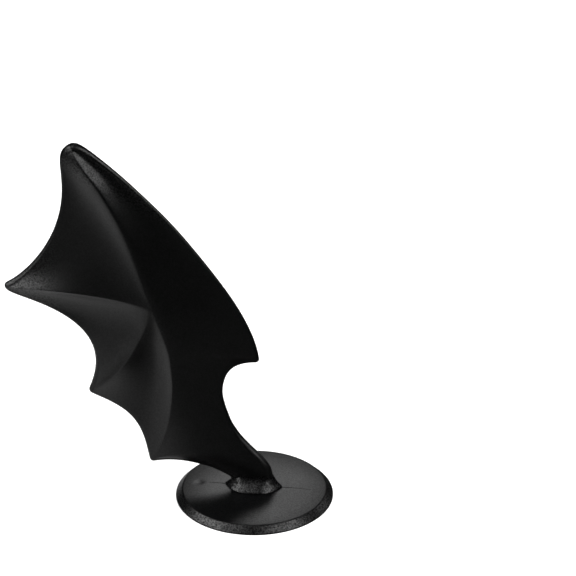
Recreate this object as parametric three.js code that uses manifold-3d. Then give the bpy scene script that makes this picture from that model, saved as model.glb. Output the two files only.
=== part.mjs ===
// One bat wing of a costume pair: a moulded wing plugged into a round stick-on base.
// Millimetres, +Z up. The origin is the centre of the base's underside.
// The wing stands in the XZ plane and leans to -X; its ribbed face looks to -Y.

import * as THREE from 'three';
import { mergeVertices } from 'three/addons/utils/BufferGeometryUtils.js';
import Module from 'manifold-3d';

const wasm = await Module();
wasm.setup();

// Base disc: a short upright wall, a bevel, a shallow cone and a flat seat for the wing
const BASE_RADIUS = 30;
const BASE_SIDES = 72;
const WALL_HEIGHT = 0.5;
const BEVEL_WIDTH = 2.45;
const BEVEL_HEIGHT = 2.4;
const CROWN_RISE = 0.8;
const SEAT_RADIUS = 11.8;
const SEAT_HEIGHT = WALL_HEIGHT + BEVEL_HEIGHT + CROWN_RISE;

// Adhesive pad, sunk flush into the underside of the base
const PAD_RADIUS = 26;
const PAD_THICKNESS = 0.6;

// Tenon under the foot, and the clearance kept between all pieces
const TENON_LENGTH = 12;
const TENON_WIDTH = 3.6;
const TENON_DEPTH = 1.5;
const FIT_GAP = 0.3;

// Flared foot of the wing, from its underside up: an almond section at each rise, with blunter ends
// where roundness is higher. The upper sections lie in the neck and lead the flare up its right side.
const FOOT_BOTTOM = SEAT_HEIGHT + FIT_GAP;
const FOOT_SECTIONS = [
  { rise: 0.0, middle: -0.3, halfLength: 11.0, halfWidth: 6.8, roundness: 3.0 },
  { rise: 0.5, middle: -0.25, halfLength: 10.6, halfWidth: 6.4, roundness: 3.0 },
  { rise: 1.2, middle: -0.2, halfLength: 9.8, halfWidth: 5.6, roundness: 3.2 },
  { rise: 2.0, middle: -0.1, halfLength: 9.0, halfWidth: 4.75, roundness: 3.6 },
  { rise: 3.0, middle: -0.3, halfLength: 8.6, halfWidth: 3.8, roundness: 4.4 },
  { rise: 4.2, middle: -0.45, halfLength: 8.05, halfWidth: 3.0, roundness: 5.5 },
  { rise: 5.6, middle: 1.05, halfLength: 5.85, halfWidth: 2.8, roundness: 7.0 },
  { rise: 7.2, middle: 2.05, halfLength: 4.05, halfWidth: 2.6, roundness: 7.0 },
  { rise: 10.5, middle: 1.0, halfLength: 2.6, halfWidth: 1.9, roundness: 7.0 },
];
const FOOT_SEGMENTS = 14;

// Wing: stations of the large front panel, from the top tip to the end of the neck inside the foot.
// The left side is the bowed ridge down to the low tip, and then the bottom edge.
// The right side is the leading edge to the thumb, and then the notch and the neck.
// crest and middle are how far the face stands forward at the left side and half-way across;
// the walls are the thickness at the left side, half-way across and at the right side.
const ARM_STATIONS = [
  { name: 'top tip', leftX: -66.0, leftZ: 141.1, rightX: -66.0, rightZ: 141.1,
    crest: 2.6, middle: 2.6, leftWall: 4.8, middleWall: 4.8, rightWall: 4.8 },
  { name: 'crown', leftX: -61.5, leftZ: 134.4, rightX: -59.2, rightZ: 138.3,
    crest: 4.4, middle: 2.1, leftWall: 3.6, middleWall: 3.4, rightWall: 3.0 },
  { name: 'upper arm', leftX: -54.7, leftZ: 124.5, rightX: -44.5, rightZ: 126.2,
    crest: 5.0, middle: 1.9, leftWall: 2.6, middleWall: 2.4, rightWall: 2.0 },
  { name: 'middle arm', leftX: -46.2, leftZ: 107.5, rightX: -26.6, rightZ: 107.4,
    crest: 5.6, middle: 2.3, leftWall: 2.4, middleWall: 2.0, rightWall: 1.8 },
  { name: 'wrist', leftX: -37.2, leftZ: 80.0, rightX: -6.8, rightZ: 79.8,
    crest: 6.4, middle: 3.0, leftWall: 2.4, middleWall: 2.0, rightWall: 1.8 },
  { name: 'thumb', leftX: -32.0, leftZ: 64.5, rightX: 0.6, rightZ: 58.8,
    crest: 5.8, middle: 3.0, leftWall: 2.4, middleWall: 2.0, rightWall: 2.8 },
  { name: 'hollow', leftX: -30.6, leftZ: 55.0, rightX: -9.3, rightZ: 54.3,
    crest: 5.0, middle: 3.0, leftWall: 2.4, middleWall: 2.2, rightWall: 1.8 },
  { name: 'notch', leftX: -30.4, leftZ: 43.0, rightX: -13.0, rightZ: 44.5,
    crest: 4.2, middle: 2.9, leftWall: 2.4, middleWall: 2.8, rightWall: 2.2 },
  { name: 'shin', leftX: -33.0, leftZ: 27.0, rightX: -10.7, rightZ: 33.0,
    crest: 3.0, middle: 2.9, leftWall: 2.4, middleWall: 3.8, rightWall: 2.8 },
  { name: 'low tip', leftX: -38.8, leftZ: 13.3, rightX: -7.4, rightZ: 25.9,
    crest: 1.5, middle: 2.9, leftWall: 3.0, middleWall: 4.4, rightWall: 3.4 },
  { name: 'heel', leftX: -28.5, leftZ: 13.7, rightX: -3.2, rightZ: 20.3,
    crest: 0.9, middle: 3.0, leftWall: 1.8, middleWall: 5.4, rightWall: 4.0 },
  { name: 'ankle', leftX: -17.9, leftZ: 12.2, rightX: 1.2, rightZ: 15.5,
    crest: 1.1, middle: 3.0, leftWall: 2.2, middleWall: 6.0, rightWall: 4.4 },
  { name: 'neck', leftX: -11.0, leftZ: 10.4, rightX: 3.8, rightZ: 11.6,
    crest: 1.9, middle: 3.0, leftWall: 3.6, middleWall: 6.0, rightWall: 4.8 },
  { name: 'root', leftX: -6.7, leftZ: 8.5, rightX: 4.6, rightZ: 8.4,
    crest: 2.6, middle: 3.0, leftWall: 5.0, middleWall: 6.0, rightWall: 5.0 },
  { name: 'end', leftX: -5.6, leftZ: 5.8, rightX: 4.4, rightZ: 5.8,
    crest: 2.6, middle: 2.9, leftWall: 5.0, middleWall: 5.8, rightWall: 5.0 },
];
const stationNumber = (name) => ARM_STATIONS.findIndex((station) => station.name === name);
const WRIST = stationNumber('wrist');
const THUMB = stationNumber('thumb');
const LOW_TIP = stationNumber('low tip');
const END = stationNumber('end');

// Wing: the two finger ridges between the bow's ends, from near the wrist out to the tip
const LEFT_FINGER = [
  { x: -51.5, z: 83.3, front: 6.0, wall: 2.4 },
  { x: -71.5, z: 85.0, front: 5.6, wall: 2.6 },
  { x: -91.9, z: 83.7, front: 2.2, wall: 3.5 },
];
const LOW_FINGER = [
  { x: -42.0, z: 66.8, front: 5.9, wall: 2.4 },
  { x: -49.8, z: 53.4, front: 5.7, wall: 2.6 },
  { x: -61.2, z: 41.8, front: 2.2, wall: 3.2 },
];

// Wing: the scalloped edge of each web, from fingertip to fingertip, with the three pulls of its curve
const SCALLOPS = [
  { pullX1: -76.8, pullZ1: 137.1, pullX2: -57.9, pullZ2: 119.1, pullX3: -80.5, pullZ3: 90.7 },
  { pullX1: -90.6, pullZ1: 79.9, pullX2: -69.3, pullZ2: 76.7, pullX3: -51.4, pullZ3: 66.6 },
  { pullX1: -50.6, pullZ1: 36.0, pullX2: -42.5, pullZ2: 32.5, pullX3: -41.1, pullZ3: 21.6 },
];
const EDGE_WALL = 1.8;
const WEB_WALL = 2.0;
const WEB_FRONT = 1.9;
const RIDGE_SHARPNESS = 1.9;
const CREST_SOFTNESS = 3.2;
const TIP_SOFTNESS = 0.6;
const CREST_FADE = 5;
const WRIST_SOFTNESS = 0.3;
const SCALLOP_FADE = 1.6;
const NECK_END_BULGE = 0.5;

// Mesh steps: along a finger, along the neck, across the panel, across a web, round the rim, a tip
// and the tenon's round ends; and how close two vertices are to be taken as one
const FINGER_STEPS = 15;
const NECK_STEPS = 10;
const PANEL_STEPS = 8;
const WEB_STEPS = 12;
const RIM_STEPS = 4;
const TIP_STEPS = 4;
const TENON_END_STEPS = 8;
const MERGE_DISTANCE = 0.001;

const mix = (from, to, share) => from + (to - from) * share;

// The parabola through three values at 0, one half and 1.
function throughThree(first, middle, last, t) {
  return first * (1 - t) * (1 - 2 * t) + 4 * middle * t * (1 - t) + last * t * (2 * t - 1);
}

// Maps 0..1 onto itself with a flat, rounded start, so that a ridge has a soft crest.
function soften(t, radius) {
  return (Math.hypot(t, radius) - radius) / (Math.hypot(1, radius) - radius);
}

// A smooth curve through evenly spaced values. It bends evenly up to its ends and to the corner.
function spline(values, place, cornerAt = -1) {
  const k = Math.min(Math.floor(place), values.length - 2);
  const f = place - k;
  const chord = values[k + 1] - values[k];
  const isFree = (i) => i === 0 || i === values.length - 1 || i === cornerAt;
  const slopeAt = (i) => (isFree(i) ? chord : (values[i + 1] - values[i - 1]) / 2);
  const startSlope = isFree(k) ? 2 * chord - slopeAt(k + 1) : slopeAt(k);
  const endSlope = isFree(k + 1) ? 2 * chord - slopeAt(k) : slopeAt(k + 1);
  const rise = f * f * (3 - 2 * f);
  const leave = f * (1 - f) * (1 - f);
  const arrive = f * f * (f - 1);
  return mix(values[k], values[k + 1], rise) + leave * startSlope + arrive * endSlope;
}

// A point of the curve from the first point to the last that the points between them pull.
function pulledCurve(points, t) {
  if (points.length === 1) return points[0];
  const nearer = points.slice(1).map((point, i) => points[i].clone().lerp(point, t));
  return pulledCurve(nearer, t);
}

// Width over which a ridge's crest is rounded, from the wrist at 0 out to a tip at 1.
const crestSoftness = (out) => mix(TIP_SOFTNESS, CREST_SOFTNESS, (1 - out) ** CREST_FADE);

// One row of the front panel at a station number, from the left side to the right side.
function armRow(place) {
  const column = (name, cornerAt) => spline(ARM_STATIONS.map((station) => station[name]), place, cornerAt);
  const left = { x: column('leftX', LOW_TIP), z: column('leftZ', LOW_TIP) };
  const right = { x: column('rightX', THUMB), z: column('rightZ', THUMB) };
  const leftWall = column('leftWall', LOW_TIP);
  const rightWall = column('rightWall', THUMB);
  const crest = column('crest', LOW_TIP);
  const width = Math.hypot(right.x - left.x, right.z - left.z);
  const isTip = width === 0;
  const out = place < WRIST ? 1 - place / WRIST : Math.min((place - WRIST) / (LOW_TIP - WRIST), 1);
  const softness = isTip ? 0 : crestSoftness(out) / width;
  const row = [];
  for (let j = 0; j <= PANEL_STEPS; j += 1) {
    const t = j / PANEL_STEPS;
    const point = {
      x: mix(left.x, right.x, t),
      z: mix(left.z, right.z, t),
      front: throughThree(crest, column('middle'), rightWall / 2, soften(t, softness)),
      wall: throughThree(leftWall, column('middleWall'), rightWall, t),
    };
    row.push(isTip && j > 0 ? row[0] : point);
  }
  return row;
}

// A finger ridge from the wrist to its tip.
function fingerRidge(wrist, rows) {
  const stops = [wrist, ...rows];
  const ridge = [wrist];
  for (let i = 1; i <= FINGER_STEPS; i += 1) {
    const place = (rows.length * i) / FINGER_STEPS;
    const at = (name) => spline(stops.map((stop) => stop[name]), place);
    ridge.push({ x: at('x'), z: at('z'), front: at('front'), wall: at('wall') });
  }
  return ridge;
}

// The hollow web between two ridges, from the wrist out to its scalloped edge.
function webGrid(upper, lower, scallop) {
  const wrist = upper[0];
  const upperTip = upper.at(-1);
  const lowerTip = lower.at(-1);
  const edge = [
    new THREE.Vector2(upperTip.x, upperTip.z),
    new THREE.Vector2(scallop.pullX1, scallop.pullZ1),
    new THREE.Vector2(scallop.pullX2, scallop.pullZ2),
    new THREE.Vector2(scallop.pullX3, scallop.pullZ3),
    new THREE.Vector2(lowerTip.x, lowerTip.z),
  ];
  const grid = [];
  for (let i = 0; i <= FINGER_STEPS; i += 1) {
    const out = i / FINGER_STEPS;
    const a = upper[i];
    const b = lower[i];
    const halfWidth = Math.hypot(a.x - b.x, a.z - b.z) / 2;
    const floorFront = throughThree(wrist.front, WEB_FRONT, EDGE_WALL / 2, soften(out, WRIST_SOFTNESS));
    const floorWall = mix(WEB_WALL, EDGE_WALL, out);
    const softness = i === 0 ? 0 : crestSoftness(out) / halfWidth;
    const row = [a];
    for (let j = 1; j < WEB_STEPS; j += 1) {
      const t = (1 - Math.cos((Math.PI * j) / WEB_STEPS)) / 2;
      const onEdge = pulledCurve(edge, t);
      const fade = out ** SCALLOP_FADE;
      const ridge = (1 - soften(2 * Math.min(t, 1 - t), softness)) ** RIDGE_SHARPNESS;
      const point = {
        x: mix(a.x, b.x, t) + fade * (onEdge.x - mix(upperTip.x, lowerTip.x, t)),
        z: mix(a.z, b.z, t) + fade * (onEdge.y - mix(upperTip.z, lowerTip.z, t)),
        front: mix(floorFront, mix(a.front, b.front, t), ridge),
        wall: mix(floorWall, mix(a.wall, b.wall, t), ridge),
      };
      row.push(i === 0 ? wrist : point);
    }
    row.push(b);
    grid.push(row);
  }
  return grid;
}

// The whole face as grids of points, with the runs of points that make its outline, anticlockwise.
function wingFace() {
  const places = [];
  for (let i = 0; i <= FINGER_STEPS; i += 1) places.push((WRIST * i) / FINGER_STEPS);
  for (let i = 1; i <= FINGER_STEPS; i += 1) places.push(mix(WRIST, LOW_TIP, i / FINGER_STEPS));
  for (let i = 1; i <= NECK_STEPS; i += 1) places.push(mix(LOW_TIP, END, i / NECK_STEPS));
  const arm = places.map(armRow);
  const leftSide = arm.map((row) => row[0]);
  const rightSide = arm.map((row) => row.at(-1));

  const wrist = leftSide[FINGER_STEPS];
  const ridges = [
    leftSide.slice(0, FINGER_STEPS + 1).reverse(),
    fingerRidge(wrist, LEFT_FINGER),
    fingerRidge(wrist, LOW_FINGER),
    leftSide.slice(FINGER_STEPS, 2 * FINGER_STEPS + 1),
  ];
  const webs = SCALLOPS.map((scallop, i) => webGrid(ridges[i], ridges[i + 1], scallop));

  const thumbRow = places.indexOf(THUMB);
  const outline = [
    ...webs.map((grid) => ({ points: grid.at(-1) })),
    { points: leftSide.slice(2 * FINGER_STEPS) },
    { points: arm.at(-1), bulge: NECK_END_BULGE },
    { points: rightSide.slice(thumbRow).reverse() },
    { points: rightSide.slice(0, thumbRow + 1).reverse() },
  ];
  return { grids: [arm, ...webs], outline };
}

// The half-round sections of the rim, one at each outline point and a fan of them at each corner.
function rimSections(outline) {
  const sections = [];
  for (const run of outline) {
    run.points.forEach((point, i) => {
      const before = run.points[Math.max(i - 1, 0)];
      const after = run.points[Math.min(i + 1, run.points.length - 1)];
      const angle = Math.atan2(before.x - after.x, after.z - before.z);
      sections.push({ point, angle, bulge: run.bulge ?? point.wall / 2, isCorner: i === 0 });
    });
  }
  return sections.flatMap((section, i) => {
    if (!section.isCorner) return [section];
    const last = sections.at(i - 1);
    const turn = Math.atan2(Math.sin(section.angle - last.angle), Math.cos(section.angle - last.angle));
    const fan = [];
    for (let k = 1; k <= TIP_STEPS; k += 1) {
      const share = k / TIP_STEPS;
      const angle = last.angle + turn * share;
      fan.push({ point: section.point, angle, bulge: mix(last.bulge, section.bulge, share) });
    }
    return fan;
  });
}

// Closes the face, its back and the rim between them into one solid.
function bladeGeometry() {
  const { grids, outline } = wingFace();
  const positions = [];
  const triangles = [];
  const numbers = { front: new Map(), back: new Map() };

  const addVertex = (x, y, z) => positions.push(x, y, z) / 3 - 1;
  const vertex = (point, side) => {
    const known = numbers[side];
    if (!known.has(point)) {
      const y = side === 'front' ? -point.front : point.wall - point.front;
      known.set(point, addVertex(point.x, y, point.z));
    }
    return known.get(point);
  };
  const addTriangle = (a, b, c) => {
    if (a !== b && b !== c && c !== a) triangles.push(a, b, c);
  };
  const addQuad = (a, b, c, d) => {
    addTriangle(a, b, c);
    addTriangle(a, c, d);
  };

  for (const grid of grids) {
    for (let i = 1; i < grid.length; i += 1) {
      for (let j = 1; j < grid[i].length; j += 1) {
        const corners = [grid[i - 1][j - 1], grid[i][j - 1], grid[i][j], grid[i - 1][j]];
        addQuad(...corners.map((point) => vertex(point, 'front')));
        addQuad(...corners.map((point) => vertex(point, 'back')).reverse());
      }
    }
  }

  const rim = rimSections(outline).map(({ point, angle, bulge }) => {
    const section = [vertex(point, 'front')];
    for (let k = 1; k < RIM_STEPS; k += 1) {
      const turn = (Math.PI * k) / RIM_STEPS;
      const reach = bulge * Math.sin(turn);
      const y = (point.wall / 2) * (1 - Math.cos(turn)) - point.front;
      section.push(addVertex(point.x + reach * Math.cos(angle), y, point.z + reach * Math.sin(angle)));
    }
    section.push(vertex(point, 'back'));
    return section;
  });
  rim.forEach((section, i) => {
    const next = rim[(i + 1) % rim.length];
    for (let k = 0; k < RIM_STEPS; k += 1) addQuad(section[k], section[k + 1], next[k + 1], next[k]);
  });

  return meshGeometry(positions, triangles);
}

// The flared foot: almond sections joined upwards, closed at both ends.
function footGeometry() {
  const positions = [];
  const triangles = [];
  const loopLength = 2 * FOOT_SEGMENTS;
  for (const { rise, middle, halfLength, halfWidth, roundness } of FOOT_SECTIONS) {
    for (let i = 0; i < loopLength; i += 1) {
      const side = i < FOOT_SEGMENTS ? -1 : 1;
      const across = side * Math.cos((Math.PI * (i % FOOT_SEGMENTS)) / FOOT_SEGMENTS);
      const y = side * halfWidth * (1 - Math.abs(across) ** roundness);
      positions.push(middle + across * halfLength, y, FOOT_BOTTOM + rise);
    }
  }
  for (let level = 1; level < FOOT_SECTIONS.length; level += 1) {
    for (let i = 0; i < loopLength; i += 1) {
      const a = (level - 1) * loopLength + i;
      const b = (level - 1) * loopLength + ((i + 1) % loopLength);
      triangles.push(a, b, b + loopLength, a, b + loopLength, a + loopLength);
    }
  }
  const top = (FOOT_SECTIONS.length - 1) * loopLength;
  for (let i = 0; i < FOOT_SEGMENTS; i += 1) {
    const across = [i, i + 1, loopLength - i - 1, (loopLength - i) % loopLength];
    const [a, b, c, d] = across;
    if (b !== c) triangles.push(a, c, b, top + a, top + b, top + c);
    if (a !== d) triangles.push(a, d, c, top + a, top + c, top + d);
  }
  return meshGeometry(positions, triangles);
}

// An upright block with round ends, for the tenon and its socket.
function stadiumGeometry(length, width, bottom, top) {
  const reach = (length - width) / 2;
  const shape = new THREE.Shape();
  shape.absarc(reach, 0, width / 2, -Math.PI / 2, Math.PI / 2);
  shape.absarc(-reach, 0, width / 2, Math.PI / 2, (3 * Math.PI) / 2);
  const options = { depth: top - bottom, bevelEnabled: false, curveSegments: TENON_END_STEPS };
  return new THREE.ExtrudeGeometry(shape, options).translate(0, 0, bottom);
}

// A turned body about Z from a profile of radius and height.
function turnedGeometry(profile) {
  const points = profile.map(([radius, height]) => new THREE.Vector2(radius, height));
  return new THREE.LatheGeometry(points, BASE_SIDES).rotateX(Math.PI / 2);
}

function meshGeometry(positions, triangles) {
  const geometry = new THREE.BufferGeometry();
  geometry.setAttribute('position', new THREE.Float32BufferAttribute(positions, 3));
  geometry.setIndex(triangles);
  return geometry;
}

// A closed geometry as a solid: shared vertices merged and collapsed triangles dropped.
function solidOf(geometry) {
  geometry.deleteAttribute('normal');
  geometry.deleteAttribute('uv');
  const merged = mergeVertices(geometry, MERGE_DISTANCE);
  const index = merged.index.array;
  const triangles = [];
  for (let i = 0; i < index.length; i += 3) {
    const [a, b, c] = index.slice(i, i + 3);
    if (a !== b && b !== c && c !== a) triangles.push(a, b, c);
  }
  const vertProperties = new Float32Array(merged.getAttribute('position').array);
  const triVerts = new Uint32Array(triangles);
  return new wasm.Manifold(new wasm.Mesh({ numProp: 3, vertProperties, triVerts }));
}

function geometryOf(solid) {
  const mesh = solid.getMesh();
  const geometry = meshGeometry(mesh.vertProperties, Array.from(mesh.triVerts));
  geometry.computeVertexNormals();
  return geometry;
}

// The wing: blade and neck, flared foot and tenon, moulded as one.
function wingGeometry() {
  const tenonTop = FOOT_BOTTOM + FOOT_SECTIONS[1].rise;
  const tenon = stadiumGeometry(TENON_LENGTH, TENON_WIDTH, FOOT_BOTTOM - FIT_GAP - TENON_DEPTH, tenonTop);
  return geometryOf(solidOf(bladeGeometry()).add(solidOf(footGeometry())).add(solidOf(tenon)));
}

// The base: bevelled disc with a pocket for the pad below and a socket for the tenon above.
function baseGeometry() {
  const pocketDepth = PAD_THICKNESS + FIT_GAP;
  const pocketRadius = PAD_RADIUS + FIT_GAP;
  const disc = turnedGeometry([
    [0, pocketDepth],
    [pocketRadius, pocketDepth],
    [pocketRadius, 0],
    [BASE_RADIUS, 0],
    [BASE_RADIUS, WALL_HEIGHT],
    [BASE_RADIUS - BEVEL_WIDTH, WALL_HEIGHT + BEVEL_HEIGHT],
    [SEAT_RADIUS, SEAT_HEIGHT],
    [0, SEAT_HEIGHT],
  ]);
  const socket = stadiumGeometry(
    TENON_LENGTH + 2 * FIT_GAP,
    TENON_WIDTH + 2 * FIT_GAP,
    SEAT_HEIGHT - TENON_DEPTH - FIT_GAP,
    SEAT_HEIGHT + FIT_GAP,
  );
  return geometryOf(solidOf(disc).subtract(solidOf(socket)));
}

function padGeometry() {
  const pad = turnedGeometry([[0, 0], [PAD_RADIUS, 0], [PAD_RADIUS, PAD_THICKNESS], [0, PAD_THICKNESS]]);
  return geometryOf(solidOf(pad));
}

function piece(name, geometry, color, roughness) {
  const material = new THREE.MeshStandardMaterial({ color, roughness, metalness: 0 });
  const mesh = new THREE.Mesh(geometry, material);
  mesh.name = name;
  return mesh;
}

const batWing = new THREE.Group();
batWing.add(
  piece('wing', wingGeometry(), 0x0a0a0b, 0.4),
  piece('base_disc', baseGeometry(), 0x0b0b0c, 0.42),
  piece('adhesive_pad', padGeometry(), 0x1c1c1d, 0.9),
);

export default batWing;
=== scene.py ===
"""A costume bat wing on its stick-on base: the finished surfaces, the studio and the camera.

The part's sizes are in millimetres, as measured against the base, and become metres when a mesh is made.
The studio's sizes are in metres.
"""

import math

import bpy
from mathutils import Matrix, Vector


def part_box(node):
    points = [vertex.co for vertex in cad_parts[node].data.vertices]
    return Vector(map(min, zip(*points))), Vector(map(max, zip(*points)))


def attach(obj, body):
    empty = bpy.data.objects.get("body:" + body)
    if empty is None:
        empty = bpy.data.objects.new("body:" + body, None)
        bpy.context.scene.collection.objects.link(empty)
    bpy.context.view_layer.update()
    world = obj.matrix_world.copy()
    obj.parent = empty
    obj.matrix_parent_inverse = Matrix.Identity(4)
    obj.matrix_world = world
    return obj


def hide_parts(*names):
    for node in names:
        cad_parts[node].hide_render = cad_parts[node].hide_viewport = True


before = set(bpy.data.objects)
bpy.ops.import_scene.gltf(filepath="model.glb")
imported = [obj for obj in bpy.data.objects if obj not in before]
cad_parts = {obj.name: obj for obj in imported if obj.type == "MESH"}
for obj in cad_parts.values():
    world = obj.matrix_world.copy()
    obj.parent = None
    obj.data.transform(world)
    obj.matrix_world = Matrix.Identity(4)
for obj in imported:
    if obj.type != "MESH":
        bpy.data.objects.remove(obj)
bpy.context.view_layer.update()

MM = 0.001

# Base disc and adhesive pad: the outer sizes come from the frame
BASE_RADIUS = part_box("base_disc")[1].x / MM
SEAT_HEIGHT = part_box("base_disc")[1].z / MM
PAD_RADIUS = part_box("adhesive_pad")[1].x / MM
PAD_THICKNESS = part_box("adhesive_pad")[1].z / MM
FIT_GAP = 0.3
WALL_HEIGHT = 0.5
BEVEL_WIDTH = 2.45
BEVEL_HEIGHT = 2.4
RIM_RADIUS = BASE_RADIUS - BEVEL_WIDTH
RIM_HEIGHT = WALL_HEIGHT + BEVEL_HEIGHT
SEAT_RADIUS = 11.8
CROWN_BULGE = 0.3

# Rounding of the base's edges, from the underside to the top, and of the pad's edges
BOTTOM_ROUND = 0.15
WALL_ROUND = 0.2
TOP_ROUND = 0.35
PAD_ROUND = 0.1

# Mould lines that run out over the base from the ends of the foot, and the gate mark at their left
MOULD_LINES = {"left": (-17.8, -11.0), "right": (10.4, 21.7)}
MOULD_LINE_WIDTH = 0.4
MOULD_LINE_DEPTH = 0.4
MOULD_LINE_TAPER = 0.6
GATE_MARK_X = -21.2
GATE_MARK_RADIUS = 2.6
GATE_MARK_DEPTH = 0.16

# Tenon under the foot
TENON_LENGTH = 12
TENON_WIDTH = 3.6
TENON_DEPTH = 1.5

# Flared foot, as almond sections: the rise above its underside, the middle in x, the half length, the
# half width, and the roundness, which makes the ends blunter further up. The upper sections lie in the
# neck and lead the flare up its right side.
FOOT_SECTIONS = [
    (0.0, -0.3, 11.0, 6.8, 3.0),
    (0.5, -0.25, 10.6, 6.4, 3.0),
    (1.2, -0.2, 9.8, 5.6, 3.2),
    (2.0, -0.1, 9.0, 4.75, 3.6),
    (3.0, -0.3, 8.6, 3.8, 4.4),
    (4.2, -0.45, 8.05, 3.0, 5.5),
    (5.6, 1.05, 5.85, 2.8, 7.0),
    (7.2, 2.05, 4.05, 2.6, 7.0),
    (10.5, 1.0, 2.6, 1.9, 7.0),
]
FOOT_BOTTOM = 4.0
TENON_TOP = FOOT_BOTTOM + FOOT_SECTIONS[1][0]

# Stations of the large panel, from the top tip to the end of the neck inside the foot:
# both sides in x and z, how far the face stands forward at the left side and half-way across,
# and the wall at the left side, half-way across and at the right side
ARM_COLUMNS = (
    "left_x", "left_z", "right_x", "right_z", "crest", "middle",
    "left_wall", "middle_wall", "right_wall",
)
ARM_STATIONS = {
    "top tip": (-66.0, 141.1, -66.0, 141.1, 2.6, 2.6, 4.8, 4.8, 4.8),
    "crown": (-61.5, 134.4, -59.2, 138.3, 4.4, 2.1, 3.6, 3.4, 3.0),
    "upper arm": (-54.7, 124.5, -44.5, 126.2, 5.0, 1.9, 2.6, 2.4, 2.0),
    "middle arm": (-46.2, 107.5, -26.6, 107.4, 5.6, 2.3, 2.4, 2.0, 1.8),
    "wrist": (-37.2, 80.0, -6.8, 79.8, 6.4, 3.0, 2.4, 2.0, 1.8),
    "thumb": (-32.0, 64.5, 0.6, 58.8, 5.8, 3.0, 2.4, 2.0, 2.8),
    "hollow": (-30.6, 55.0, -9.3, 54.3, 5.0, 3.0, 2.4, 2.2, 1.8),
    "notch": (-30.4, 43.0, -13.0, 44.5, 4.2, 2.9, 2.4, 2.8, 2.2),
    "shin": (-33.0, 27.0, -10.7, 33.0, 3.0, 2.9, 2.4, 3.8, 2.8),
    "low tip": (-38.8, 13.3, -7.4, 25.9, 1.5, 2.9, 3.0, 4.4, 3.4),
    "heel": (-28.5, 13.7, -3.2, 20.3, 0.9, 3.0, 1.8, 5.4, 4.0),
    "ankle": (-17.9, 12.2, 1.2, 15.5, 1.1, 3.0, 2.2, 6.0, 4.4),
    "neck": (-11.0, 10.4, 3.8, 11.6, 1.9, 3.0, 3.6, 6.0, 4.8),
    "root": (-6.7, 8.5, 4.6, 8.4, 2.6, 3.0, 5.0, 6.0, 5.0),
    "end": (-5.6, 5.8, 4.4, 5.8, 2.6, 2.9, 5.0, 5.8, 5.0),
}
STATION_NAMES = list(ARM_STATIONS)
WRIST = STATION_NAMES.index("wrist")
THUMB = STATION_NAMES.index("thumb")
LOW_TIP = STATION_NAMES.index("low tip")
END = STATION_NAMES.index("end")

# Stations where a column's curve has a corner
CORNERS = {
    "left_x": LOW_TIP, "left_z": LOW_TIP, "left_wall": LOW_TIP, "crest": LOW_TIP,
    "right_x": THUMB, "right_z": THUMB, "right_wall": THUMB,
}

# The two finger ridges between the bow's ends, from near the wrist to the tip: x, z, front, wall
LEFT_FINGER = [(-51.5, 83.3, 6.0, 2.4), (-71.5, 85.0, 5.6, 2.6), (-91.9, 83.7, 2.2, 3.5)]
LOW_FINGER = [(-42.0, 66.8, 5.9, 2.4), (-49.8, 53.4, 5.7, 2.6), (-61.2, 41.8, 2.2, 3.2)]

# Scalloped edges from fingertip to fingertip: the three pulls of each curve in x and z
SCALLOPS = [
    ((-76.8, 137.1), (-57.9, 119.1), (-80.5, 90.7)),
    ((-90.6, 79.9), (-69.3, 76.7), (-51.4, 66.6)),
    ((-50.6, 36.0), (-42.5, 32.5), (-41.1, 21.6)),
]

# Webs: the wall at the edge and inside it, and how far the middle stands forward
EDGE_WALL = 1.8
WEB_WALL = 2.0
WEB_FRONT = 1.9

# Ridges: how steeply they rise out of a web, how wide their crests are rounded at the wrist and at a
# tip, and how soon the one width becomes the other
RIDGE_SHARPNESS = 1.9
CREST_SOFTNESS = 3.2
TIP_SOFTNESS = 0.6
CREST_FADE = 5

# How softly a web's floor leaves the wrist, how late a web takes on its scallop, the bulge of the neck's
# end, and the height of the flash line round the rim
WRIST_SOFTNESS = 0.3
SCALLOP_FADE = 1.6
NECK_END_BULGE = 0.5
FLASH_HEIGHT = 0.06

# Mesh steps: along a finger, along the neck, across the panel, across a web, round the rim and a tip,
# round half of the foot and up it, round the base, and across the crown of its top
FINGER_STEPS = 60
NECK_STEPS = 40
PANEL_STEPS = 32
WEB_STEPS = 40
RIM_STEPS = 12
TIP_STEPS = 10
FOOT_SEGMENTS = 48
FOOT_LEVELS = 24
BASE_SIDES = 240
CROWN_STEPS = 24

# Widest distance between a turned mesh's rings, and the angles in degrees that stay sharp in the shading
BASE_RING_SPACING = 0.7
PAD_RING_SPACING = 2.0
PLASTIC_CREASE = 32
PAD_CREASE = 40

# Span that most of a noise texture's values lie in
NOISE_SPAN = (0.3, 0.7)

# Black plastic: its colour, and the lowest and highest roughness, which change with large soft marks
PLASTIC_COLOUR = (0.0013, 0.0013, 0.0014)
PLASTIC_ROUGHNESS = (0.28, 0.34)
PLASTIC_IOR = 1.5
PLASTIC_SHINE = 0.5
MARKS_PER_METRE = 45

# Moulded grain: its size and height, and how it varies the tone and the shine
GRAIN_SIZE = 0.6
GRAIN_HEIGHT = 0.04
GRAIN_SHINE_SPAN = (0.36, 0.64)
GRAIN_TONE_SPAN = (0.35, 0.75)
GRAIN_TONES = (0.75, 1.35)

# Contrast of the fine grain, and its lowest and highest share, which change with the marks
WING_GRAIN_CONTRAST = 0.05
BASE_GRAIN_CONTRAST = 0.13
MARKED_CONTRAST = (0.8, 1.2)

# Places with coarser grain: a direction, the distances along it where the coarse grain begins and is
# full, and the contrast there
WING_COARSE_PLACES = [
    ((0, 0, 1), 11, 8, 0.4),
    ((-1, 0, 0), 66, 86, 0.3),
    ((0.5, 0, 0.87), 78, 86, 0.25),
]
BASE_COARSE_PLACES = [((0, 0, 1), 2.95, 2.6, 0.4)]

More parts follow.
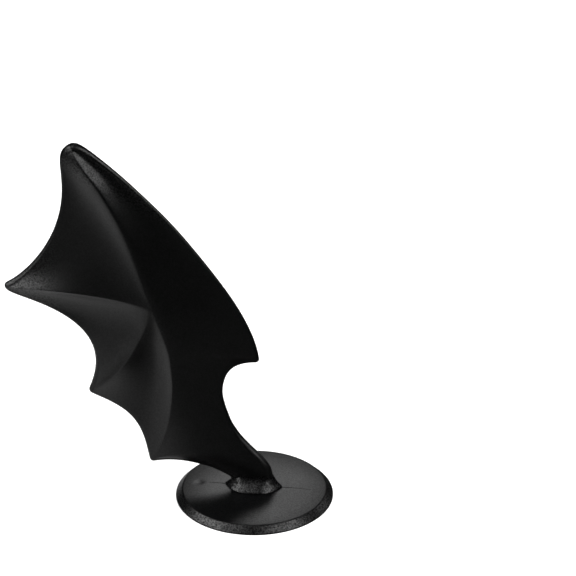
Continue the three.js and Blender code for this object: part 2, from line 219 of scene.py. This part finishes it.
# Foam of the pad: colour, tones of its soft clouds, and its pores
FOAM_COLOUR = (0.03, 0.03, 0.031)
FOAM_ROUGHNESS = 0.9
FOAM_TONES = (0.8, 1.2)
CLOUDS_PER_METRE = 120
PORES_PER_METRE = 2200
PORE_DEPTH = 0.1
PORE_STRENGTH = 0.8

# Camera, fitted to the base's ellipse in the photo: its place, its angles in degrees, the width of its
# sensor in millimetres, and the photo's frame and focal length in pixels
CAMERA_PLACE = (0.1462, -1.0149, 0.6234)
CAMERA_PITCH = -27.547
CAMERA_TURN = 7.483
SENSOR_WIDTH = 36.0
FRAME_PIXELS = 576
FOCAL_PIXELS = 3134

# Pale floor: how far it reaches each way, and its faint speckle
FLOOR_REACH = 6.0
FLOOR_TONES = (0.88, 0.9)
SPECKLES_PER_METRE = 30

# Room: the light of the wall behind and of the dark rest. Each limit of the wall is an axis of the
# direction in which it is seen, the span over which the light rises, and its shares before and after.
WALL_LIGHT = 3.1
ROOM_LIGHT = 0.012
WALL_LIMITS = [
    ("Y", (0.55, 0.8), (0.0, 1.0)),
    ("X", (-0.28, -0.13), (0.0, 1.0)),
    ("X", (0.08, -0.07), (0.0, 1.0)),
    ("Z", (0.28, 0.7), (0.03, 1.0)),
]

# Sheet under the floor: two of its corners, and its height
SHEET_LOW = (-0.9, -0.7)
SHEET_HIGH = (0.06, 0.055)
SHEET_HEIGHT = -0.001

# White card on that sheet, whose glow is painted light: its light, the slant of its right and left
# sides, the spans over which its sides and its front edge fade in, and the share left in front
CARD_LIGHT = 0.44
CARD_SLANT = 2.0
CARD_RIGHT = (0.005, 0.09)
CARD_LEFT = (-0.75, -0.62)
CARD_FRONT = (-0.19, -0.11)
CARD_FRONT_SHARE = 0.1

# Painted pool of light beside the wing and painted shade in front: the middle, the span of distances
# over which the patch fades out, and the share in it
CARD_PATCHES = [
    ((-0.165, -0.015, SHEET_HEIGHT), (0.015, 0.06), 2.9),
    ((-0.15, -0.125, SHEET_HEIGHT), (0.02, 0.06), 0.6),
]

# Grey table round the card, painted as light that is lighter towards the card, and the share that is
# left in the painted shadow of the base
TABLE_SPAN = (-0.4, 0.0)
TABLE_LIGHTS = (0.02, 0.1)
BASE_SHADOW = (0.03, 0.06)
BASE_SHADOW_SHARE = 0.2

# Soft lights: place, target, width, height and power in watts. The part mirrors all but the floor's.
SOFTBOXES = {
    "top_softbox": ((-0.42, -0.42, 0.9), (-0.03, 0, 0.06), 0.55, 0.8, 1.8),
    "right_softbox": ((0.64, -0.34, 0.72), (-0.03, 0, 0.06), 0.8, 0.65, 3.7),
    "left_softbox": ((-0.78, -0.2, 0.64), (-0.03, 0, 0.06), 0.6, 0.5, 2.8),
    "tip_softbox": ((-0.76, -0.74, 0.32), (-0.08, 0, 0.09), 0.34, 0.5, 1.9),
    "back_softbox": ((0.7, 0.6, 0.42), (0.03, 0, 0), 0.4, 0.3, 0.35),
}
FLOOR_LIGHT = ((0, 0.8, 2.6), (0, 0.8, 0), 4.0, 4.0, 190)

# Colour sockets of a Mix node, which share their names with its other sockets
MIX_FIRST = 6
MIX_SECOND = 7
MIX_RESULT = 2


def mix(start, stop, share):
    return start + (stop - start) * share


def through_three(first, middle, last, t):
    """The parabola through three values at 0, one half and 1."""
    return first * (1 - t) * (1 - 2 * t) + 4 * middle * t * (1 - t) + last * t * (2 * t - 1)


def soften(t, radius):
    """Maps 0..1 onto itself with a flat, rounded start, so that a ridge has a soft crest."""
    return (math.hypot(t, radius) - radius) / (math.hypot(1, radius) - radius)


def spline(values, place, corner=None):
    """A smooth curve through evenly spaced values. It bends evenly up to its ends and to the corner."""
    k = min(int(place), len(values) - 2)
    f = place - k
    chord = values[k + 1] - values[k]

    def is_free(i):
        return i in (0, len(values) - 1, corner)

    def slope(i):
        return chord if is_free(i) else (values[i + 1] - values[i - 1]) / 2

    start_slope = 2 * chord - slope(k + 1) if is_free(k) else slope(k)
    end_slope = 2 * chord - slope(k) if is_free(k + 1) else slope(k + 1)
    rise = f * f * (3 - 2 * f)
    leave = f * (1 - f) * (1 - f)
    arrive = f * f * (f - 1)
    return mix(values[k], values[k + 1], rise) + leave * start_slope + arrive * end_slope


def pulled_curve(points, t):
    """A point of the curve from the first point to the last that the points between them pull."""
    while len(points) > 1:
        points = [(mix(a[0], b[0], t), mix(a[1], b[1], t)) for a, b in zip(points, points[1:])]
    return points[0]


class FacePoint:
    """A point of the wing's face: its place, how far it stands forward and how thick the wall is."""

    def __init__(self, x, z, front, wall):
        self.x = x
        self.z = z
        self.front = front
        self.wall = wall


def crest_softness(out):
    """Width over which a ridge's crest is rounded, from the wrist at 0 out to a tip at 1."""
    return mix(TIP_SOFTNESS, CREST_SOFTNESS, (1 - out) ** CREST_FADE)


def arm_row(place):
    """One row of the large panel at a station number, from the left side to the right side."""
    v = {}
    for column, name in enumerate(ARM_COLUMNS):
        values = [station[column] for station in ARM_STATIONS.values()]
        v[name] = spline(values, place, CORNERS.get(name))
    width = math.hypot(v["right_x"] - v["left_x"], v["right_z"] - v["left_z"])
    if width == 0:
        return [FacePoint(v["left_x"], v["left_z"], v["crest"], v["left_wall"])] * (PANEL_STEPS + 1)
    out = 1 - place / WRIST if place < WRIST else min((place - WRIST) / (LOW_TIP - WRIST), 1)
    softness = crest_softness(out) / width
    row = []
    for j in range(PANEL_STEPS + 1):
        t = j / PANEL_STEPS
        row.append(FacePoint(
            mix(v["left_x"], v["right_x"], t),
            mix(v["left_z"], v["right_z"], t),
            through_three(v["crest"], v["middle"], v["right_wall"] / 2, soften(t, softness)),
            through_three(v["left_wall"], v["middle_wall"], v["right_wall"], t),
        ))
    return row


def finger_ridge(wrist, stops):
    """A finger ridge from the wrist to its tip."""
    columns = list(zip((wrist.x, wrist.z, wrist.front, wrist.wall), *stops))
    ridge = [wrist]
    for i in range(1, FINGER_STEPS + 1):
        place = len(stops) * i / FINGER_STEPS
        ridge.append(FacePoint(*(spline(values, place) for values in columns)))
    return ridge


def web_grid(upper, lower, pulls):
    """The hollow web between two ridges, from the wrist out to its scalloped edge."""
    wrist = upper[0]
    upper_tip = upper[-1]
    lower_tip = lower[-1]
    curve = [(upper_tip.x, upper_tip.z), *pulls, (lower_tip.x, lower_tip.z)]
    grid = [[wrist] * (WEB_STEPS + 1)]
    for i in range(1, FINGER_STEPS + 1):
        out = i / FINGER_STEPS
        a, b = upper[i], lower[i]
        half_width = math.hypot(a.x - b.x, a.z - b.z) / 2
        floor_front = through_three(wrist.front, WEB_FRONT, EDGE_WALL / 2, soften(out, WRIST_SOFTNESS))
        floor_wall = mix(WEB_WALL, EDGE_WALL, out)
        softness = crest_softness(out) / half_width
        fade = out**SCALLOP_FADE
        row = [a]
        for j in range(1, WEB_STEPS):
            t = (1 - math.cos(math.pi * j / WEB_STEPS)) / 2
            edge_x, edge_z = pulled_curve(curve, t)
            ridge = (1 - soften(2 * min(t, 1 - t), softness)) ** RIDGE_SHARPNESS
            row.append(FacePoint(
                mix(a.x, b.x, t) + fade * (edge_x - mix(upper_tip.x, lower_tip.x, t)),
                mix(a.z, b.z, t) + fade * (edge_z - mix(upper_tip.z, lower_tip.z, t)),
                mix(floor_front, mix(a.front, b.front, t), ridge),
                mix(floor_wall, mix(a.wall, b.wall, t), ridge),
            ))
        row.append(b)
        grid.append(row)
    return grid


def wing_face():
    """The face as grids of points, and its outline as anticlockwise runs of points with their bulge."""
    places = [WRIST * i / FINGER_STEPS for i in range(FINGER_STEPS + 1)]
    places += [mix(WRIST, LOW_TIP, i / FINGER_STEPS) for i in range(1, FINGER_STEPS + 1)]
    places += [mix(LOW_TIP, END, i / NECK_STEPS) for i in range(1, NECK_STEPS + 1)]
    arm = [arm_row(place) for place in places]
    left_side = [row[0] for row in arm]
    right_side = [row[-1] for row in arm]
    wrist = left_side[FINGER_STEPS]
    ridges = [
        left_side[FINGER_STEPS::-1],
        finger_ridge(wrist, LEFT_FINGER),
        finger_ridge(wrist, LOW_FINGER),
        left_side[FINGER_STEPS:2 * FINGER_STEPS + 1],
    ]
    webs = [web_grid(ridges[i], ridges[i + 1], pulls) for i, pulls in enumerate(SCALLOPS)]
    thumb_row = places.index(THUMB)
    outline = [(grid[-1], None) for grid in webs]
    outline.append((left_side[2 * FINGER_STEPS:], None))
    outline.append((arm[-1], NECK_END_BULGE))
    outline.append((right_side[:thumb_row - 1:-1], None))
    outline.append((right_side[thumb_row::-1], None))
    return [arm, *webs], outline


def rim_sections(outline):
    """Point, angle and bulge of the rim's half-round sections, with a fan of them at each corner."""
    sections = []
    for points, bulge in outline:
        last = len(points) - 1
        for i, point in enumerate(points):
            before, after = points[max(i - 1, 0)], points[min(i + 1, last)]
            angle = math.atan2(before.x - after.x, after.z - before.z)
            sections.append((point, angle, bulge or point.wall / 2, i == 0))
    fanned = []
    for i, (point, angle, bulge, is_corner) in enumerate(sections):
        if not is_corner:
            fanned.append((point, angle, bulge))
            continue
        _, last_angle, last_bulge, _ = sections[i - 1]
        turn = math.remainder(angle - last_angle, 2 * math.pi)
        for k in range(1, TIP_STEPS + 1):
            share = k / TIP_STEPS
            fanned.append((point, last_angle + turn * share, mix(last_bulge, bulge, share)))
    return fanned


class MeshMaker:
    """Collects vertices in millimetres and faces, and makes one mesh object of them."""

    def __init__(self):
        self.vertices = []
        self.faces = []
        self.known = {}

    def add(self, x, y, z):
        self.vertices.append((x * MM, y * MM, z * MM))
        return len(self.vertices) - 1

    def face_vertex(self, point, side):
        """The vertex of a point on the wing's front or back, which is added once."""
        key = (id(point), side)
        if key not in self.known:
            y = -point.front if side == "front" else point.wall - point.front
            self.known[key] = self.add(point.x, y, point.z)
        return self.known[key]

    def polygon(self, *corners):
        """A face, with corners that fall together counted once."""
        kept = [c for i, c in enumerate(corners) if c != corners[i - 1]]
        if len(kept) > 2:
            self.faces.append(kept)

    def make(self, name):
        mesh = bpy.data.meshes.new(name)
        mesh.from_pydata(self.vertices, [], self.faces)
        mesh.validate()
        piece = bpy.data.objects.new(name, mesh)
        bpy.context.scene.collection.objects.link(piece)
        return piece


def blade():
    """Blade and neck: the face, its back and the half-round rim between them, with its flash line."""
    grids, outline = wing_face()
    maker = MeshMaker()
    for grid in grids:
        for i in range(1, len(grid)):
            for j in range(1, len(grid[i])):
                corners = (grid[i - 1][j - 1], grid[i][j - 1], grid[i][j], grid[i - 1][j])
                maker.polygon(*(maker.face_vertex(p, "front") for p in corners))
                maker.polygon(*(maker.face_vertex(p, "back") for p in reversed(corners)))
    rim = []
    for point, angle, bulge in rim_sections(outline):
        section = [maker.face_vertex(point, "front")]
        for k in range(1, RIM_STEPS):
            turn = math.pi * k / RIM_STEPS
            flash = FLASH_HEIGHT if 2 * k == RIM_STEPS else 0
            reach = bulge * math.sin(turn) + flash
            x = point.x + reach * math.cos(angle)
            y = point.wall / 2 * (1 - math.cos(turn)) - point.front
            z = point.z + reach * math.sin(angle)
            section.append(maker.add(x, y, z))
        section.append(maker.face_vertex(point, "back"))
        rim.append(section)
    for i, section in enumerate(rim):
        after = rim[(i + 1) % len(rim)]
        for k in range(RIM_STEPS):
            maker.polygon(section[k], section[k + 1], after[k + 1], after[k])
    return maker.make("blade")


def foot():
    """The flared foot: almond sections joined upwards and closed at both ends."""
    maker = MeshMaker()
    columns = list(zip(*FOOT_SECTIONS))
    loops = []
    for level in range(FOOT_LEVELS + 1):
        place = (len(FOOT_SECTIONS) - 1) * level / FOOT_LEVELS
        rise, middle, half_length, half_width, roundness = (spline(values, place) for values in columns)
        loop = []
        for i in range(2 * FOOT_SEGMENTS):
            side = -1 if i < FOOT_SEGMENTS else 1
            turn = math.pi * (i % FOOT_SEGMENTS) / FOOT_SEGMENTS
            across = side * math.cos(turn)
            y = side * half_width * (1 - abs(across) ** roundness)
            loop.append(maker.add(middle + across * half_length, y, FOOT_BOTTOM + rise))
        loops.append(loop)
    for lower, upper in zip(loops, loops[1:]):
        for i in range(len(lower)):
            maker.polygon(lower[i - 1], lower[i], upper[i], upper[i - 1])
    for loop, is_top in ((loops[0], False), (loops[-1], True)):
        for i in range(FOOT_SEGMENTS):
            strip = (loop[i], loop[i + 1], loop[-i - 1], loop[-i])
            maker.polygon(*(strip if is_top else reversed(strip)))
    return maker.make("foot")


def stadium(name, length, width, bottom, top, steps=16):
    """An upright block with round ends."""
    maker = MeshMaker()
    radius = width / 2
    reach = (length - width) / 2
    loops = []
    for z in (bottom, top):
        loop = []
        for side in (1, -1):
            for i in range(steps + 1):
                turn = math.pi * (i / steps - side / 2)
                x = side * reach + radius * math.cos(turn)
                loop.append(maker.add(x, radius * math.sin(turn), z))
        loops.append(loop)
    for i in range(len(loops[0])):
        maker.polygon(loops[0][i - 1], loops[0][i], loops[1][i], loops[1][i - 1])
    maker.polygon(*reversed(loops[0]))
    maker.polygon(*loops[1])
    return maker.make(name)


def combine(piece, other, operation):
    """Joins another closed piece to this one, or cuts it out, and deletes the other."""
    modifier = piece.modifiers.new(operation, "BOOLEAN")
    modifier.operation = operation
    modifier.solver = "EXACT"
    modifier.object = other
    depsgraph = bpy.context.evaluated_depsgraph_get()
    mesh = bpy.data.meshes.new_from_object(piece.evaluated_get(depsgraph))
    piece.modifiers.clear()
    old_mesh = piece.data
    piece.data = mesh
    bpy.data.meshes.remove(old_mesh)
    bpy.data.objects.remove(other)
    return piece


def wing():
    """Blade, neck and foot in one, with the tenon under the foot."""
    piece = blade()
    combine(piece, foot(), "UNION")
    tenon = stadium("tenon", TENON_LENGTH, TENON_WIDTH, SEAT_HEIGHT - TENON_DEPTH, TENON_TOP)
    combine(piece, tenon, "UNION")
    piece.name = "wing_skin"
    return piece


def rounded(corners, steps=6):
    """A profile with its marked corners rounded: each corner is a radius, a height and a rounding."""
    profile = []
    for i, (radius, height, rounding) in enumerate(corners):
        corner = Vector((radius, height))
        if not rounding:
            profile.append(corner)
            continue
        before = Vector(corners[i - 1][:2]) - corner
        after = Vector(corners[i + 1][:2]) - corner
        start = corner + before.normalized() * rounding
        stop = corner + after.normalized() * rounding
        for k in range(steps + 1):
            t = k / steps
            profile.append(start * (1 - t) ** 2 + corner * 2 * t * (1 - t) + stop * t * t)
    return profile


def with_rings(profile, spacing):
    """The same profile with extra points, so that no two are further apart than the spacing."""
    dense = [profile[0]]
    for start, stop in zip(profile, profile[1:]):
        count = max(1, math.ceil((stop - start).length / spacing))
        dense.extend(start.lerp(stop, k / count) for k in range(1, count + 1))
    return dense


def turned(name, profile, sides, lift=None):
    """A turned body about Z from a profile that starts and ends on the axis."""
    maker = MeshMaker()
    rings = []
    for radius, height in profile:
        if radius == 0:
            rings.append([maker.add(0, 0, height)] * sides)
            continue
        ring = []
        for i in range(sides):
            turn = 2 * math.pi * i / sides
            x = radius * math.cos(turn)
            y = radius * math.sin(turn)
            ring.append(maker.add(x, y, height + (lift(x, y, height) if lift else 0)))
        rings.append(ring)
    for lower, upper in zip(rings, rings[1:]):
        for i in range(sides):
            maker.polygon(lower[i - 1], lower[i], upper[i], upper[i - 1])
    return maker.make(name)


def gate_mark(x, y, height):
    """The shallow dish of the gate mark in the top of the base."""
    if height < RIM_HEIGHT:
        return 0
    share = min(math.hypot(x - GATE_MARK_X, y) / GATE_MARK_RADIUS, 1)
    return -GATE_MARK_DEPTH * (1 - share * share) ** 2


def crown_height(x):
    """Height of the base's slightly domed top at a distance from the axis."""
    share = (RIM_RADIUS - max(abs(x), SEAT_RADIUS)) / (RIM_RADIUS - SEAT_RADIUS)
    return mix(RIM_HEIGHT, SEAT_HEIGHT, share) + 4 * CROWN_BULGE * share * (1 - share)


def mould_line(name, start, stop, steps=24):
    """The wedge of a fine groove along X, half above the base's top, that tapers to its outer end."""
    maker = MeshMaker()
    sections = []
    for i in range(steps + 1):
        x = mix(start, stop, i / steps)
        top = crown_height(x)
        far = abs(x) - min(abs(start), abs(stop))
        size = 1 - MOULD_LINE_TAPER * far / abs(stop - start)
        half = MOULD_LINE_WIDTH * size
        depth = MOULD_LINE_DEPTH * size
        sections.append([
            maker.add(x, -half, top + depth),
            maker.add(x, half, top + depth),
            maker.add(x, 0, top - depth),
        ])
    for near, after in zip(sections, sections[1:]):
        for k in range(3):
            maker.polygon(near[k - 1], after[k - 1], after[k], near[k])
    maker.polygon(*sections[0])
    maker.polygon(*reversed(sections[-1]))
    return maker.make(name)


def base_disc():
    """The base with its pad's pocket, bevelled rim, domed top, mould lines and socket."""
    pocket_depth = PAD_THICKNESS + FIT_GAP
    pocket_radius = PAD_RADIUS + FIT_GAP
    crown = [mix(RIM_RADIUS, SEAT_RADIUS, k / CROWN_STEPS) for k in range(1, CROWN_STEPS)]
    profile = rounded([
        (0, pocket_depth, 0),
        (pocket_radius, pocket_depth, 0),
        (pocket_radius, 0, 0),
        (BASE_RADIUS, 0, BOTTOM_ROUND),
        (BASE_RADIUS, WALL_HEIGHT, WALL_ROUND),
        (RIM_RADIUS, RIM_HEIGHT, TOP_ROUND),
        *((radius, crown_height(radius), 0) for radius in crown),
        (SEAT_RADIUS, SEAT_HEIGHT, TOP_ROUND),
        (0, SEAT_HEIGHT, 0),
    ])
    piece = turned("base_skin", with_rings(profile, BASE_RING_SPACING), BASE_SIDES, gate_mark)
    for side, (start, stop) in MOULD_LINES.items():
        combine(piece, mould_line("mould_line_" + side, start, stop), "DIFFERENCE")
    socket = stadium(
        "socket",
        TENON_LENGTH + 2 * FIT_GAP,
        TENON_WIDTH + 2 * FIT_GAP,
        SEAT_HEIGHT - TENON_DEPTH - FIT_GAP,
        SEAT_HEIGHT + FIT_GAP,
    )
    return combine(piece, socket, "DIFFERENCE")


def adhesive_pad():
    """The foam disc in the base's underside."""
    profile = rounded([
        (0, 0, 0),
        (PAD_RADIUS, 0, PAD_ROUND),
        (PAD_RADIUS, PAD_THICKNESS, PAD_ROUND),
        (0, PAD_THICKNESS, 0),
    ])
    return turned("pad_skin", with_rings(profile, PAD_RING_SPACING), BASE_SIDES)


def shade_smooth(piece, sharp_angle):
    """Smooth shading, with edges sharper than the angle kept as creases."""
    piece.data.polygons.foreach_set("use_smooth", [True] * len(piece.data.polygons))
    piece.data.set_sharp_from_angle(angle=math.radians(sharp_angle))


class NodeTree:
    """Short ways to add nodes to a material or the world."""

    def __init__(self, owner):
        owner.use_nodes = True
        self.tree = owner.node_tree
        self.tree.nodes.clear()

    def add(self, kind, inputs=None, **settings):
        """A node with its settings, and with its inputs linked to sockets or set to values."""
        node = self.tree.nodes.new(kind)
        for name, value in settings.items():
            setattr(node, name, value)
        for name, value in (inputs or {}).items():
            if isinstance(value, bpy.types.NodeSocket):
                self.tree.links.new(value, node.inputs[name])
            else:
                node.inputs[name].default_value = value
        return node

    def noise(self, place, scale, detail=2.0, roughness=0.5):
        inputs = {"Vector": place, "Scale": scale, "Detail": detail, "Roughness": roughness}
        return self.add("ShaderNodeTexNoise", inputs).outputs["Fac"]

    def ramp(self, value, span, levels=(0.0, 1.0), smooth=False):
        """Goes from one level to the other while the value goes through the span, and stays there."""
        kind = "SMOOTHSTEP" if smooth else "LINEAR"
        inputs = {"Value": value, "From Min": span[0], "From Max": span[1]}
        inputs.update({"To Min": levels[0], "To Max": levels[1]})
        return self.add("ShaderNodeMapRange", inputs, interpolation_type=kind).outputs["Result"]

    def math(self, operation, first, second):
        return self.add("ShaderNodeMath", {0: first, 1: second}, operation=operation).outputs["Value"]

    def vector_math(self, operation, first, second):
        inputs = {0: first, 1: second}
        return self.add("ShaderNodeVectorMath", inputs, operation=operation).outputs["Value"]

    def product(self, light, shares):
        """A light times each of its shares."""
        for share in shares:
            light = self.math("MULTIPLY", light, share)
        return light

    def tinted(self, colour, tone):
        """A colour that a tone makes darker and lighter."""
        inputs = {"Factor": 1.0, MIX_FIRST: (*colour, 1), MIX_SECOND: tone}
        node = self.add("ShaderNodeMix", inputs, data_type="RGBA", blend_type="MULTIPLY")
        return node.outputs[MIX_RESULT]


def plastic(name, fine_contrast, coarse_places):
    """Satin black moulded plastic: spark-eroded grain, coarser in some places, and uneven gloss."""
    material = bpy.data.materials.new(name)
    nodes = NodeTree(material)
    place = nodes.add("ShaderNodeTexCoord").outputs["Object"]
    grain = nodes.noise(place, 1 / (GRAIN_SIZE * MM), detail=2.0, roughness=0.6)
    marks = nodes.noise(place, MARKS_PER_METRE, detail=4.0, roughness=0.65)
    contrast = nodes.ramp(marks, NOISE_SPAN, [fine_contrast * share for share in MARKED_CONTRAST])
    for direction, begin, full, coarse_contrast in coarse_places:
        along = nodes.vector_math("DOT_PRODUCT", place, direction)
        coarse = nodes.ramp(along, (begin * MM, full * MM), (0.0, coarse_contrast), smooth=True)
        contrast = nodes.math("MAXIMUM", contrast, coarse)
    signed_grain = nodes.ramp(grain, GRAIN_SHINE_SPAN, (-1.0, 1.0))
    shine = nodes.math("ADD", nodes.math("MULTIPLY", signed_grain, contrast), PLASTIC_SHINE)
    tone = nodes.ramp(grain, GRAIN_TONE_SPAN, GRAIN_TONES)
    bump = nodes.add("ShaderNodeBump", {"Height": grain, "Strength": 1.0, "Distance": GRAIN_HEIGHT * MM})
    shader = nodes.add("ShaderNodeBsdfPrincipled", {
        "Base Color": nodes.tinted(PLASTIC_COLOUR, tone),
        "Roughness": nodes.ramp(marks, NOISE_SPAN, PLASTIC_ROUGHNESS),
        "Specular IOR Level": shine,
        "Normal": bump.outputs["Normal"],
        "IOR": PLASTIC_IOR,
    })
    nodes.add("ShaderNodeOutputMaterial", {"Surface": shader.outputs["BSDF"]})
    return material


def foam(name):
    """Matte closed-cell foam with fine pores."""
    material = bpy.data.materials.new(name)
    nodes = NodeTree(material)
    place = nodes.add("ShaderNodeTexCoord").outputs["Object"]
    cells = nodes.add("ShaderNodeTexVoronoi", {"Vector": place, "Scale": PORES_PER_METRE})
    pores = cells.outputs["Distance"]
    clouds = nodes.noise(place, CLOUDS_PER_METRE, detail=3.0)
    tone = nodes.ramp(clouds, NOISE_SPAN, FOAM_TONES)
    relief = {"Height": pores, "Strength": PORE_STRENGTH, "Distance": PORE_DEPTH * MM}
    bump = nodes.add("ShaderNodeBump", relief)
    shader = nodes.add("ShaderNodeBsdfPrincipled", {
        "Base Color": nodes.tinted(FOAM_COLOUR, tone),
        "Roughness": FOAM_ROUGHNESS,
        "Normal": bump.outputs["Normal"],
    })
    nodes.add("ShaderNodeOutputMaterial", {"Surface": shader.outputs["BSDF"]})
    return material


def dress(piece, material, node):
    """Gives a piece its material and its place in the frame."""
    piece.data.materials.clear()
    piece.data.materials.append(material)
    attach(piece, "root")
    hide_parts(node)


def plane(name, low, high, height):
    """A flat rectangle between two corners."""
    maker = MeshMaker()
    corners = (low, (high[0], low[1]), high, (low[0], high[1]))
    maker.polygon(*(maker.add(x / MM, y / MM, height / MM) for x, y in corners))
    piece = maker.make(name)
    return piece


def floor():
    """A plain pale floor, which the part doesn't mirror."""
    piece = plane("floor", (-FLOOR_REACH, -FLOOR_REACH), (FLOOR_REACH, FLOOR_REACH), 0)
    material = bpy.data.materials.new("floor_paint")
    nodes = NodeTree(material)
    place = nodes.add("ShaderNodeTexCoord").outputs["Object"]
    speckle = nodes.noise(place, SPECKLES_PER_METRE, detail=3.0)
    shader = nodes.add("ShaderNodeBsdfDiffuse", {"Color": nodes.ramp(speckle, NOISE_SPAN, FLOOR_TONES)})
    nodes.add("ShaderNodeOutputMaterial", {"Surface": shader.outputs["BSDF"]})
    piece.data.materials.append(material)
    piece.visible_glossy = False


def floor_card():
    """The glowing sheet just under the floor, which only the part's mirrored light shows.

    Its glow is painted light, standing in for a white card with slanted sides on a grey table: a painted
    pool of light beside the wing, painted shade in front of it, and a painted shadow of the base on the
    table.
    """
    piece = plane("floor_card", SHEET_LOW, SHEET_HIGH, SHEET_HEIGHT)
    # The card's glow is painted light from a white card and a grey table, not a lamp
    material = bpy.data.materials.new("card_painted_light")
    nodes = NodeTree(material)
    place = nodes.add("ShaderNodeTexCoord").outputs["Object"]
    axes = nodes.add("ShaderNodeSeparateXYZ", {"Vector": place}).outputs
    slant = nodes.math("MULTIPLY", axes["X"], CARD_SLANT)
    from_right = nodes.math("SUBTRACT", axes["Y"], slant)
    from_left = nodes.math("ADD", axes["Y"], slant)
    shares = [
        nodes.ramp(from_right, CARD_RIGHT, smooth=True),
        nodes.ramp(from_left, CARD_LEFT, smooth=True),
        nodes.ramp(axes["Y"], CARD_FRONT, (CARD_FRONT_SHARE, 1.0), smooth=True),
    ]
    # A painted pool of light and a patch of painted shade in the card's glow
    for middle, span, share in CARD_PATCHES:
        distance = nodes.vector_math("DISTANCE", place, middle)
        shares.append(nodes.ramp(distance, span, (share, 1.0), smooth=True))
    card = nodes.product(CARD_LIGHT, shares)
    # Painted shadow of the base in the table's glow
    from_base = nodes.vector_math("DISTANCE", place, (0, 0, 0))
    shadow = nodes.ramp(from_base, BASE_SHADOW, (BASE_SHADOW_SHARE, 1.0), smooth=True)
    table = nodes.math("MULTIPLY", nodes.ramp(from_right, TABLE_SPAN, TABLE_LIGHTS), shadow)
    shader = nodes.add("ShaderNodeEmission", {"Strength": nodes.math("ADD", card, table)})
    nodes.add("ShaderNodeOutputMaterial", {"Surface": shader.outputs["Emission"]})
    piece.data.materials.append(material)
    piece.visible_camera = False
    piece.visible_diffuse = False
    piece.visible_shadow = False


def softbox(name, place, target, width, height, power, in_reflections=True):
    """A rectangular soft light that looks at a point."""
    data = bpy.data.lights.new(name, "AREA")
    data.shape = "RECTANGLE"
    data.size = width
    data.size_y = height
    data.energy = power
    light = bpy.data.objects.new(name, data)
    light.location = place
    light.rotation_euler = (Vector(target) - Vector(place)).to_track_quat("-Z", "Y").to_euler()
    light.visible_glossy = in_reflections
    bpy.context.scene.collection.objects.link(light)


def studio_world():
    """A dark room with a bright wall behind, which the base's top mirrors. The camera sees white."""
    world = bpy.data.worlds.new("studio")
    bpy.context.scene.world = world
    nodes = NodeTree(world)
    direction = nodes.add("ShaderNodeTexCoord").outputs["Generated"]
    axes = nodes.add("ShaderNodeSeparateXYZ", {"Vector": direction}).outputs
    shares = [nodes.ramp(axes[axis], span, levels, smooth=True) for axis, span, levels in WALL_LIMITS]
    light = nodes.math("ADD", nodes.product(WALL_LIGHT, shares), ROOM_LIGHT)
    is_camera = nodes.add("ShaderNodeLightPath").outputs["Is Camera Ray"]
    seen = nodes.math("MAXIMUM", light, is_camera)
    background = nodes.add("ShaderNodeBackground", {"Color": (1, 1, 1, 1), "Strength": seen})
    nodes.add("ShaderNodeOutputWorld", {"Surface": background.outputs["Background"]})


def camera():
    """The photo's view."""
    data = bpy.data.cameras.new("camera")
    data.sensor_width = SENSOR_WIDTH
    data.lens = FOCAL_PIXELS * SENSOR_WIDTH / FRAME_PIXELS
    view = bpy.data.objects.new("camera", data)
    view.location = CAMERA_PLACE
    view.rotation_euler = (math.radians(90 + CAMERA_PITCH), 0, math.radians(CAMERA_TURN))
    bpy.context.scene.collection.objects.link(view)
    bpy.context.scene.camera = view


camera()
studio_world()
floor()
floor_card()
for softbox_name, settings in SOFTBOXES.items():
    softbox(softbox_name, *settings)
softbox("floor_light", *FLOOR_LIGHT, in_reflections=False)
bpy.context.scene.view_settings.view_transform = "Standard"

wing_skin = wing()
shade_smooth(wing_skin, PLASTIC_CREASE)
wing_plastic = plastic("wing_plastic", WING_GRAIN_CONTRAST, WING_COARSE_PLACES)
dress(wing_skin, wing_plastic, "wing")

base_skin = base_disc()
shade_smooth(base_skin, PLASTIC_CREASE)
base_plastic = plastic("base_plastic", BASE_GRAIN_CONTRAST, BASE_COARSE_PLACES)
dress(base_skin, base_plastic, "base_disc")

pad_skin = adhesive_pad()
shade_smooth(pad_skin, PAD_CREASE)
dress(pad_skin, foam("pad_foam"), "adhesive_pad")
